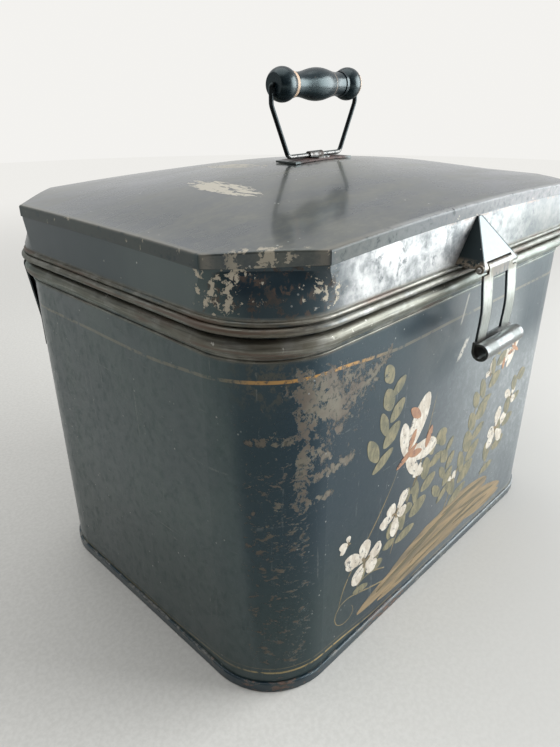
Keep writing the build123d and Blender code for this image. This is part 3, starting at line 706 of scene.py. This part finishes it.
def grip_finish():
    """Ebonised turned wood, worn to bare wood on the edges of its beads."""
    f = Finish("turned_wood")
    grain = f.noise(1.1, 4, 0.6, 0.4, stretch=(0.12, 1, 1))
    wear = f.noise(2.4, 5, 0.65, 0.2, shift=(4, 0, 0))
    inner_ring = f.x.strip(-25.7, 1.1, 0.3) * wear.rise(0.34, 0.40)
    bead_edge = f.x.strip(38.6, 1.3, 0.4) * wear.rise(0.38, 0.46)
    turned_line = f.x.strip(13.0, 0.15, 0.2) * 0.5
    bare = (inner_ring + bead_edge + turned_line).least(1)
    speck = f.noise(1.6, 3, 0.6, shift=(2, 8, 1)).rise(0.70, 0.74) * 0.5
    colour = f.mix(grain.rise(0.4, 0.75) * 0.55, EBONY, EBONY_GRAIN)
    colour = f.mix(bare.most(speck * 0.7), colour, (0.62, 0.45, 0.32))
    return f.surface(
        grain * 0.5 - bare * 0.5,
        Base_Color=colour, Roughness=f.blend(bare, f.blend(grain, 0.20, 0.36), 0.6),
    )


def hood_finish():
    """Pressed hood over the hasp's pin: pale blue-grey front as painted highlight, with rubbed
    edges.
    """
    f = Finish("japan_hasp")
    wear = f.noise(4, 5, 0.6, 0.3)
    lit_front = (abs(f.x) + f.z * 0.75 - 209.7).rise(-0.9, -1.4) * f.y.rise(-129, -133)
    low = f.z.rise(255.5, 252.5) * wear.rise(0.4, 0.55)
    # Painted highlight: the sloping front made pale blue-grey, the sides left near-black.
    colour = f.mix(lit_front * (0.45 + wear * 0.4), (0.004, 0.008, 0.010), (0.235, 0.275, 0.290))
    colour = f.mix(low * 0.7, colour, (0.26, 0.20, 0.14))
    colour = f.mix(specks(f, 4, 0.12, 0.3) * 0.5, colour, HOOD_DUST)
    return f.surface(
        wear * 0.8,
        Base_Color=colour, Metallic=lit_front * 0.3,
        Roughness=f.blend(lit_front, 0.62, f.blend(wear, 0.38, 0.50)),
        Coat_Weight=lit_front * 0.2, Coat_Roughness=0.2,
    )


def hasp_plate_finish():
    """Hasp of folded strip: rubbed legs with dark edges, brown top bar, dark inside the roll."""
    f = Finish("japan_hasp_plate")
    wear = f.noise(5, 5, 0.6, 0.3, stretch=(1.4, 1, 0.35))
    fine = f.noise(1.1, 3, 0.6, stretch=(1, 1, 0.3))
    leg = abs(f.x).strip(15.3, 4.6, 1.2) * f.y.rise(-147.5, -148.5)
    curl = f.z.rise(208.5, 206.5)
    top = f.z.rise(243, 246)
    rubbed = (leg * 0.30 + wear * 0.9).rise(0.50, 0.68)
    rubbed_tone = f.mix(fine.rise(0.35, 0.7) * 0.4, (0.31, 0.30, 0.275), BRONZE)
    colour = f.mix(rubbed * 0.95, JAPAN_BLACK, rubbed_tone)
    colour = f.mix(curl * (0.55 + wear * 0.4), colour, (0.050, 0.046, 0.042))
    colour = f.mix(top * wear.rise(0.35, 0.55) * 0.8, colour, (0.14, 0.105, 0.075))
    return f.surface(
        fine * 0.3,
        Base_Color=colour, Roughness=f.blend(rubbed, 0.32, 0.38),
        Metallic=rubbed * (1 - curl * 0.7) * 0.8,
        Coat_Weight=(1 - rubbed) * 0.4, Coat_Roughness=0.15,
    )


finishes = {
    "japan_body": body_finish(),
    "japan_base": foot_finish(),
    "japan_hinges": hinge_finish(),
    "steel_pins": bare_metal("steel_pins", (0.50, 0.49, 0.46), (0.10, 0.075, 0.055), 2),
    "iron_rivets": bare_metal(
        "iron_rivets", (0.22, 0.20, 0.18), (0.07, 0.045, 0.03), 4, rough=0.45, stained=0.8),
    "japan_lid_band": lid_band_finish(),
    "steel_wire": bare_metal(
        "steel_wire", (0.30, 0.28, 0.25), (0.08, 0.05, 0.03), 6, rough=0.4),
    "japan_lid_top": lid_top_finish(),
    "rusty_plate": plate_finish(),
    "worn_tin": bare_metal(
        "worn_tin", (0.17, 0.165, 0.16), (0.07, 0.045, 0.035), 8, rough=0.48, stained=0.7),
    "black_wire": bail_finish(),
    "turned_wood": grip_finish(),
    "japan_hasp": hood_finish(),
    "japan_hasp_plate": hasp_plate_finish(),
}
for part in frame["record"]["subparts"]:
    node = frame["nodes"][part["node"]]
    for place in node.material_slots:
        place.material = finishes[part["material_slot"]]


# ---------------------------------------------------------------- painted spray on the front

def paint_finish(name, tone, shade, seed, loss=0.57, pull=(1, 1, 0.5)):
    """Hand-laid paint, streaked by the brush and worn through to the varnish."""
    f = Finish(name)
    brush = f.noise(4, 4, 0.6, 0.4, stretch=pull, shift=(seed, 0, 0))
    worn = f.noise(3.2, 6, 0.7, 0.2, shift=(0, 0, seed)).rise(loss, loss + 0.06)
    colour = f.mix(brush.rise(0.35, 0.68), shade, tone)
    colour = f.mix(worn * 0.8, colour, JAPAN)
    return f.surface(
        brush * 0.5 - worn * 0.4,
        Base_Color=colour, Roughness=f.blend(worn, 0.46, 0.34), Coat_Weight=0.1,
    )


LONG_PULL = (0.10, 1, 0.8)
paints = {
    "white": paint_finish("petal_white", (0.68, 0.64, 0.56), (0.48, 0.42, 0.34), 1),
    "tan": paint_finish("wing_tan", (0.42, 0.22, 0.115), (0.30, 0.15, 0.085), 2),
    "moss": paint_finish(
        "bank_moss", (0.135, 0.105, 0.055), (0.090, 0.078, 0.045), 6, 0.68, LONG_PULL),
    "olive": paint_finish("leaf_olive", (0.250, 0.215, 0.120), (0.125, 0.118, 0.070), 3, 0.60),
    "gold": paint_finish(
        "bank_gold", (0.29, 0.205, 0.105), (0.150, 0.115, 0.066), 4, 0.68, LONG_PULL),
    "line": paint_finish("stem_gold", (0.26, 0.185, 0.075), (0.15, 0.12, 0.06), 5),
}

# Millimetres: the front of the wall, how thick paint lies, and how deep it keys into the wall.
WALL = -HALF_WIDTH
PAINT = 0.12
KEYED = 0.02


def settle(name, mesh_maker, paint):
    """Piece of the painted work, in place on the front of the box."""
    bm = bmesh.new()
    mesh_maker(bm)
    bmesh.ops.remove_doubles(bm, verts=bm.verts, dist=1e-7)
    bmesh.ops.recalc_face_normals(bm, faces=bm.faces)
    mesh = bpy.data.meshes.new(name)
    bm.to_mesh(mesh)
    bm.free()
    piece = bpy.data.objects.new(name, mesh)
    bpy.context.scene.collection.objects.link(piece)
    mesh.materials.append(paints[paint])
    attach(piece, "box")


def dab(bm, x, z, length, width, turn, tip=0.35, lift=0.0):
    """One pull of the brush from (x, z): a pointed oval that is widest at tip of its length."""
    ring = bmesh.ops.create_circle(bm, cap_ends=True, segments=18, radius=0.5)["verts"]
    for v in ring:
        t = v.co.x + 0.5
        swell = 1.0 - 0.55 * abs(t - tip) ** 1.2
        v.co = Vector((t * length, v.co.y * width * swell, 0))
    grown = bmesh.ops.extrude_face_region(bm, geom=list(ring[0].link_faces))["geom"]
    top = [g for g in grown if isinstance(g, bmesh.types.BMVert)]
    bmesh.ops.translate(bm, vec=(0, 0, PAINT), verts=top)
    angle = radians(turn)
    stand = Matrix((
        (cos(angle), -sin(angle), 0, x),
        (0, 0, -1, WALL - lift + KEYED),
        (sin(angle), cos(angle), 0, z),
        (0, 0, 0, 1),
    ))
    bmesh.ops.transform(bm, matrix=Matrix.Scale(MM, 4) @ stand, verts=ring + top)


def brush_line(name, points, widths):
    """Long tapering stroke that follows a smooth line on the wall."""
    curve = bpy.data.curves.new(name + "_line", "CURVE")
    curve.dimensions = "3D"
    curve.bevel_depth = 1.0 * MM
    curve.bevel_resolution = 2
    curve.use_fill_caps = True
    spline = curve.splines.new("NURBS")
    spline.points.add(len(points) - 1)
    for knot, (x, z), width in zip(spline.points, points, widths):
        knot.co = (x * MM, 0, z * MM, 1)
        knot.radius = width / 2
    spline.order_u = 4
    spline.use_endpoint_u = True
    spline.resolution_u = 8
    holder = bpy.data.objects.new(name + "_line", curve)
    bpy.context.scene.collection.objects.link(holder)
    bpy.context.view_layer.update()
    evaluated = holder.evaluated_get(bpy.context.evaluated_depsgraph_get())
    mesh = bpy.data.meshes.new_from_object(evaluated)
    bpy.data.objects.remove(holder)

    def flatten(bm):
        bm.from_mesh(mesh)
        for v in bm.verts:
            side = max(-1.0, min(1.0, v.co.y / MM))
            v.co.y = (WALL + KEYED) * MM + side * PAINT * MM * 0.8

    settle(name, flatten, "line")
    bpy.data.meshes.remove(mesh)


def blossom(bm, x, z, size, turn, petals):
    """Loose flower: petals of unlike length round its heart, each of two dabs."""
    fan = 360 if petals > 3 else 170
    for i in range(petals):
        angle = turn + i * fan / petals + 11 * sin(2.3 * i + turn)
        stretch = 1.0 + 0.28 * sin(2.1 * i + turn * 0.3)
        out, skew = radians(angle), radians(angle + 9)
        dab(bm, x + size * 0.06 * cos(out), z + size * 0.06 * sin(out),
            size * 0.50 * stretch, size * (0.30 + 0.05 * (i % 2)), angle, 0.70, 0.01 * i)
        dab(bm, x + size * 0.22 * cos(skew), z + size * 0.22 * sin(skew),
            size * 0.30 * stretch, size * 0.22, angle + 14, 0.6, 0.01 * i + 0.004)


# x, z, size, turn, petals
BLOSSOMS = (
    (-90, 66, 37, 12, 5), (-58, 86, 30, 50, 5), (-35, 104, 16, 20, 3), (-109, 92, 15, 100, 3),
    (84, 92, 31, 22, 5), (104, 114, 22, 60, 4), (58, 150, 17, 40, 3), (18, 74, 14, 15, 3),
)

# x, z, size, turn
MOTHS = ((-52, 128, 46, 24), (96, 160, 28, 150))

# first (x, z), last (x, z), leaves, length of a leaf
SPRAYS = (
    ((-106, 44), (-40, 98), 11, 14), ((-60, 56), (-14, 128), 9, 20),
    ((14, 48), (44, 132), 10, 22), ((62, 52), (112, 134), 9, 18),
    ((42, 122), (70, 186), 8, 17), ((-92, 130), (-76, 196), 8, 19), ((-4, 60), (-2, 120), 8, 16),
)

# x and z of the middle, length, width, turn
BANKS = (
    (-50, 22, 92, 15, 8), (-10, 31, 104, 22, 7), (34, 40, 100, 24, 2), (72, 35, 84, 18, -8),
    (-24, 17, 96, 11, 3), (26, 22, 120, 18, 2), (78, 21, 70, 12, -3),
)
BANK_SHADES = (
    (-34, 26, 80, 3.4, 9), (4, 36, 84, 4.0, 7), (44, 46, 70, 3.8, 0), (68, 36, 64, 3.2, -8),
    (20, 27, 96, 3.0, 2), (60, 25, 60, 2.4, -2), (-20, 18, 60, 2.2, 4),
)

# turn from the moth's own, share of its size
FORE_WINGS = ((38, 1.0), (-32, 0.86))
HIND_WINGS = ((78, 0.62), (-74, 0.55))

# points along the line, widths of the stroke at them
STEMS = {
    "painted_stem_left": (
        ((-116, 44), (-112, 62), (-92, 78), (-70, 104), (-60, 122)),
        (0.8, 1.6, 1.6, 1.2, 0.5)),
    "painted_stem_middle": (
        ((-60, 52), (-52, 78), (-30, 108), (-26, 140), (-20, 164)),
        (0.8, 1.8, 1.7, 1.3, 0.5)),
    "painted_stem_tall": (
        ((6, 34), (14, 62), (34, 92), (38, 130), (58, 160), (74, 178)),
        (0.8, 2.0, 1.9, 1.5, 1.2, 0.5)),
    "painted_stem_right": (
        ((64, 46), (78, 72), (96, 98), (108, 118), (112, 134)),
        (0.8, 1.6, 1.5, 1.2, 0.5)),
    "painted_tendril_left": (
        ((-58, 30), (-84, 36), (-112, 52), (-124, 34), (-108, 20), (-96, 30), (-104, 38)),
        (1.6, 1.3, 1.0, 0.9, 0.8, 0.7, 0.4)),
    "painted_tendril_low": (
        ((-66, 44), (-84, 54), (-102, 50), (-100, 40), (-92, 42)),
        (1.3, 1.1, 0.9, 0.7, 0.4)),
    "painted_tendril_right": (
        ((44, 46), (66, 52), (84, 44), (82, 34), (72, 38)),
        (1.3, 1.1, 0.9, 0.7, 0.4)),
}


def blossoms(bm):
    for x, z, size, turn, petals in BLOSSOMS:
        blossom(bm, x, z, size, turn, petals)


def blossom_hearts(bm):
    for x, z, size, turn, _ in BLOSSOMS:
        for k in range(3):
            dab(bm, x, z, size * 0.15, size * 0.08, turn + 120 * k, 0.7, 0.10 + 0.01 * k)


def leaves(bm):
    """Leaves in turn on either side of bowed stems, each laid a little over the last."""
    laid = 0
    for (x0, z0), (x1, z1), count, length in SPRAYS:
        heading = Vector((x1 - x0, z1 - z0)).angle_signed(Vector((1, 0)))
        for i in range(count):
            t = (i + 0.5) / count
            bow = 9 * sin(pi * t)
            x, z = x0 + (x1 - x0) * t + bow, z0 + (z1 - z0) * t - bow * 0.4
            side = 1 if i % 2 else -1
            turn = heading * 180 / pi + side * (52 - 16 * t) + 9 * sin(3.7 * i)
            dab(bm, x, z, length * (1.25 - 0.5 * t), length * (0.44 + 0.10 * (i % 3)),
                turn, 0.5, -0.03 + 0.0016 * laid)
            laid += 1


def banks(bm):
    for i, (x, z, length, width, turn) in enumerate(BANKS):
        dab(bm, x - length / 2, z, length, width, turn, 0.5, -0.03 + 0.012 * i)


def bank_shading(bm):
    for i, (x, z, length, width, turn) in enumerate(BANK_SHADES):
        dab(bm, x - length / 2, z, length, width, turn, 0.5, 0.10 + 0.004 * i)


def moth_wings(bm):
    for x, z, size, turn in MOTHS:
        for i, (spread, share) in enumerate(FORE_WINGS + HIND_WINGS):
            dab(bm, x, z, size * share, size * 0.42 * share, turn + spread, 0.75, 0.01 * i)


def moth_bars(bm):
    """A bar across and one along each fore wing, and the body behind them."""
    for x, z, size, turn in MOTHS:
        for i, (spread, share) in enumerate(FORE_WINGS):
            angle = radians(turn + spread)
            over = 0.12 + 0.01 * i
            dab(bm, x + cos(angle) * size * share * 0.62, z + sin(angle) * size * share * 0.62,
                size * 0.36, size * 0.15, turn + spread + 78, 0.5, over)
            dab(bm, x + cos(angle) * size * share * 0.10, z + sin(angle) * size * share * 0.10,
                size * 0.34, size * 0.13, turn + spread, 0.5, over)
        dab(bm, x - cos(radians(turn)) * size * 0.25, z - sin(radians(turn)) * size * 0.25,
            size * 0.55, size * 0.12, turn, 0.5, 0.15)


settle("painted_blossoms", blossoms, "white")
settle("painted_blossom_hearts", blossom_hearts, "gold")
settle("painted_leaves", leaves, "olive")
settle("painted_bank", banks, "gold")
settle("painted_bank_shading", bank_shading, "moss")
settle("painted_moths", moth_wings, "white")
settle("painted_moth_bars", moth_bars, "tan")
for name, (points, widths) in STEMS.items():
    brush_line(name, points, widths)


# ---------------------------------------------------------------- table, light and camera

def make_table():
    """Round pale floor that fades into the background beyond the object."""
    bm = bmesh.new()
    bmesh.ops.create_circle(bm, cap_ends=True, segments=96, radius=3.0)
    mesh = bpy.data.meshes.new("table")
    bm.to_mesh(mesh)
    bm.free()
    table = bpy.data.objects.new("table", mesh)
    bpy.context.scene.collection.objects.link(table)
    mesh.transform(Matrix.Translation((0, 0, -0.3 * MM)))
    f = Finish("table_top")
    speck = f.noise(3.0, 3, 0.6)
    colour = f.mix(speck.rise(0.3, 0.7), (0.59, 0.585, 0.555), (0.65, 0.645, 0.615))
    # Painted shade: the floor darker towards the right and the front.
    colour = f.mix((f.x - f.y).rise(-60, 320) * 0.95, colour, (0.46, 0.455, 0.437))
    top = f.node("ShaderNodeBsdfPrincipled", None, {"Base Color": colour, "Roughness": 0.6})
    far = f.node("ShaderNodeEmission", None, {"Color": (0.86, 0.85, 0.82), "Strength": 1.0})
    away = (f.x * f.x + f.y * f.y) ** 0.5
    f.close(f.node("ShaderNodeMixShader", None, {0: away.rise(500, 1900), 1: top, 2: far}))
    mesh.materials.append(f.material)


def make_light(name, place, target, size, watts, tint=(1, 1, 1)):
    """Rectangular lamp at a place, turned to its target."""
    lamp = bpy.data.lights.new(name, "AREA")
    lamp.shape = "RECTANGLE"
    lamp.size, lamp.size_y = size
    lamp.energy = watts
    lamp.color = tint
    holder = bpy.data.objects.new(name, lamp)
    holder.location = place
    way = Vector(target) - Vector(place)
    holder.rotation_euler = way.to_track_quat("-Z", "Y").to_euler()
    bpy.context.scene.collection.objects.link(holder)


# Towards the light side of the room, and how strong its dark and light sides are.
LIGHT_SIDE = (0.62, 0.70, 0.35)
DARK_ROOM, LIGHT_ROOM = 0.08, 0.96


def make_world():
    """Pale backdrop for the camera, and a room that is light on one side for all else."""
    world = bpy.data.worlds.new("room")
    world.use_nodes = True
    tree = world.node_tree
    tree.nodes.clear()
    add, join = tree.nodes.new, tree.links.new
    seen = add("ShaderNodeBackground")
    seen.inputs["Color"].default_value = (0.90, 0.89, 0.865, 1)
    room = add("ShaderNodeBackground")
    place = add("ShaderNodeTexCoord")
    side = add("ShaderNodeVectorMath")
    side.operation = "DOT_PRODUCT"
    side.inputs[1].default_value = LIGHT_SIDE
    join(place.outputs["Generated"], side.inputs[0])
    spread = add("ShaderNodeMapRange")
    spread.interpolation_type = "SMOOTHSTEP"
    for socket, value in (
        ("From Min", -0.9), ("From Max", 0.7), ("To Min", DARK_ROOM), ("To Max", LIGHT_ROOM),
    ):
        spread.inputs[socket].default_value = value
    join(side.outputs["Value"], spread.inputs["Value"])
    join(spread.outputs["Result"], room.inputs["Strength"])
    path = add("ShaderNodeLightPath")
    both = add("ShaderNodeMixShader")
    join(path.outputs["Is Camera Ray"], both.inputs[0])
    join(room.outputs[0], both.inputs[1])
    join(seen.outputs[0], both.inputs[2])
    out = add("ShaderNodeOutputWorld")
    join(both.outputs[0], out.inputs["Surface"])
    bpy.context.scene.world = world


# Frame height and focal length in pixels; sensor in millimetres; place in metres.
FRAME_HEIGHT, FOCAL_LENGTH, SENSOR = 747, 606, 36
CAMERA_PLACE = (-0.3466, -0.3022, 0.3483)
YAW, PITCH, ROLL = radians(44.27), radians(25.62), radians(-0.26)


def make_camera():
    """Camera at the front left corner, a little above the lid."""
    look = Vector((cos(YAW) * cos(PITCH), sin(YAW) * cos(PITCH), -sin(PITCH)))
    level = Vector((sin(YAW), -cos(YAW), 0))
    rise = level.cross(look)
    right = level * cos(ROLL) + rise * sin(ROLL)
    up = rise * cos(ROLL) - level * sin(ROLL)
    turn = Matrix((right, up, -look)).transposed()
    camera = bpy.data.cameras.new("camera")
    camera.sensor_width = SENSOR
    camera.lens = FOCAL_LENGTH / FRAME_HEIGHT * SENSOR
    camera.clip_start = 0.01
    holder = bpy.data.objects.new("camera", camera)
    holder.matrix_world = Matrix.Translation(CAMERA_PLACE) @ turn.to_4x4()
    bpy.context.scene.collection.objects.link(holder)
    bpy.context.scene.camera = holder


make_table()
make_world()
make_light(
    "window_light", place=(0.98, -0.86, 0.55), target=(0.0, -0.08, 0.30), size=(1.1, 1.05),
    watts=34, tint=(0.97, 0.99, 1.0),
)
make_light("ceiling_light", place=(-0.1, 0.2, 1.7), target=(0, 0, 0), size=(1.6, 1.6), watts=12)
make_camera()
bpy.context.scene.view_settings.view_transform = "Standard"
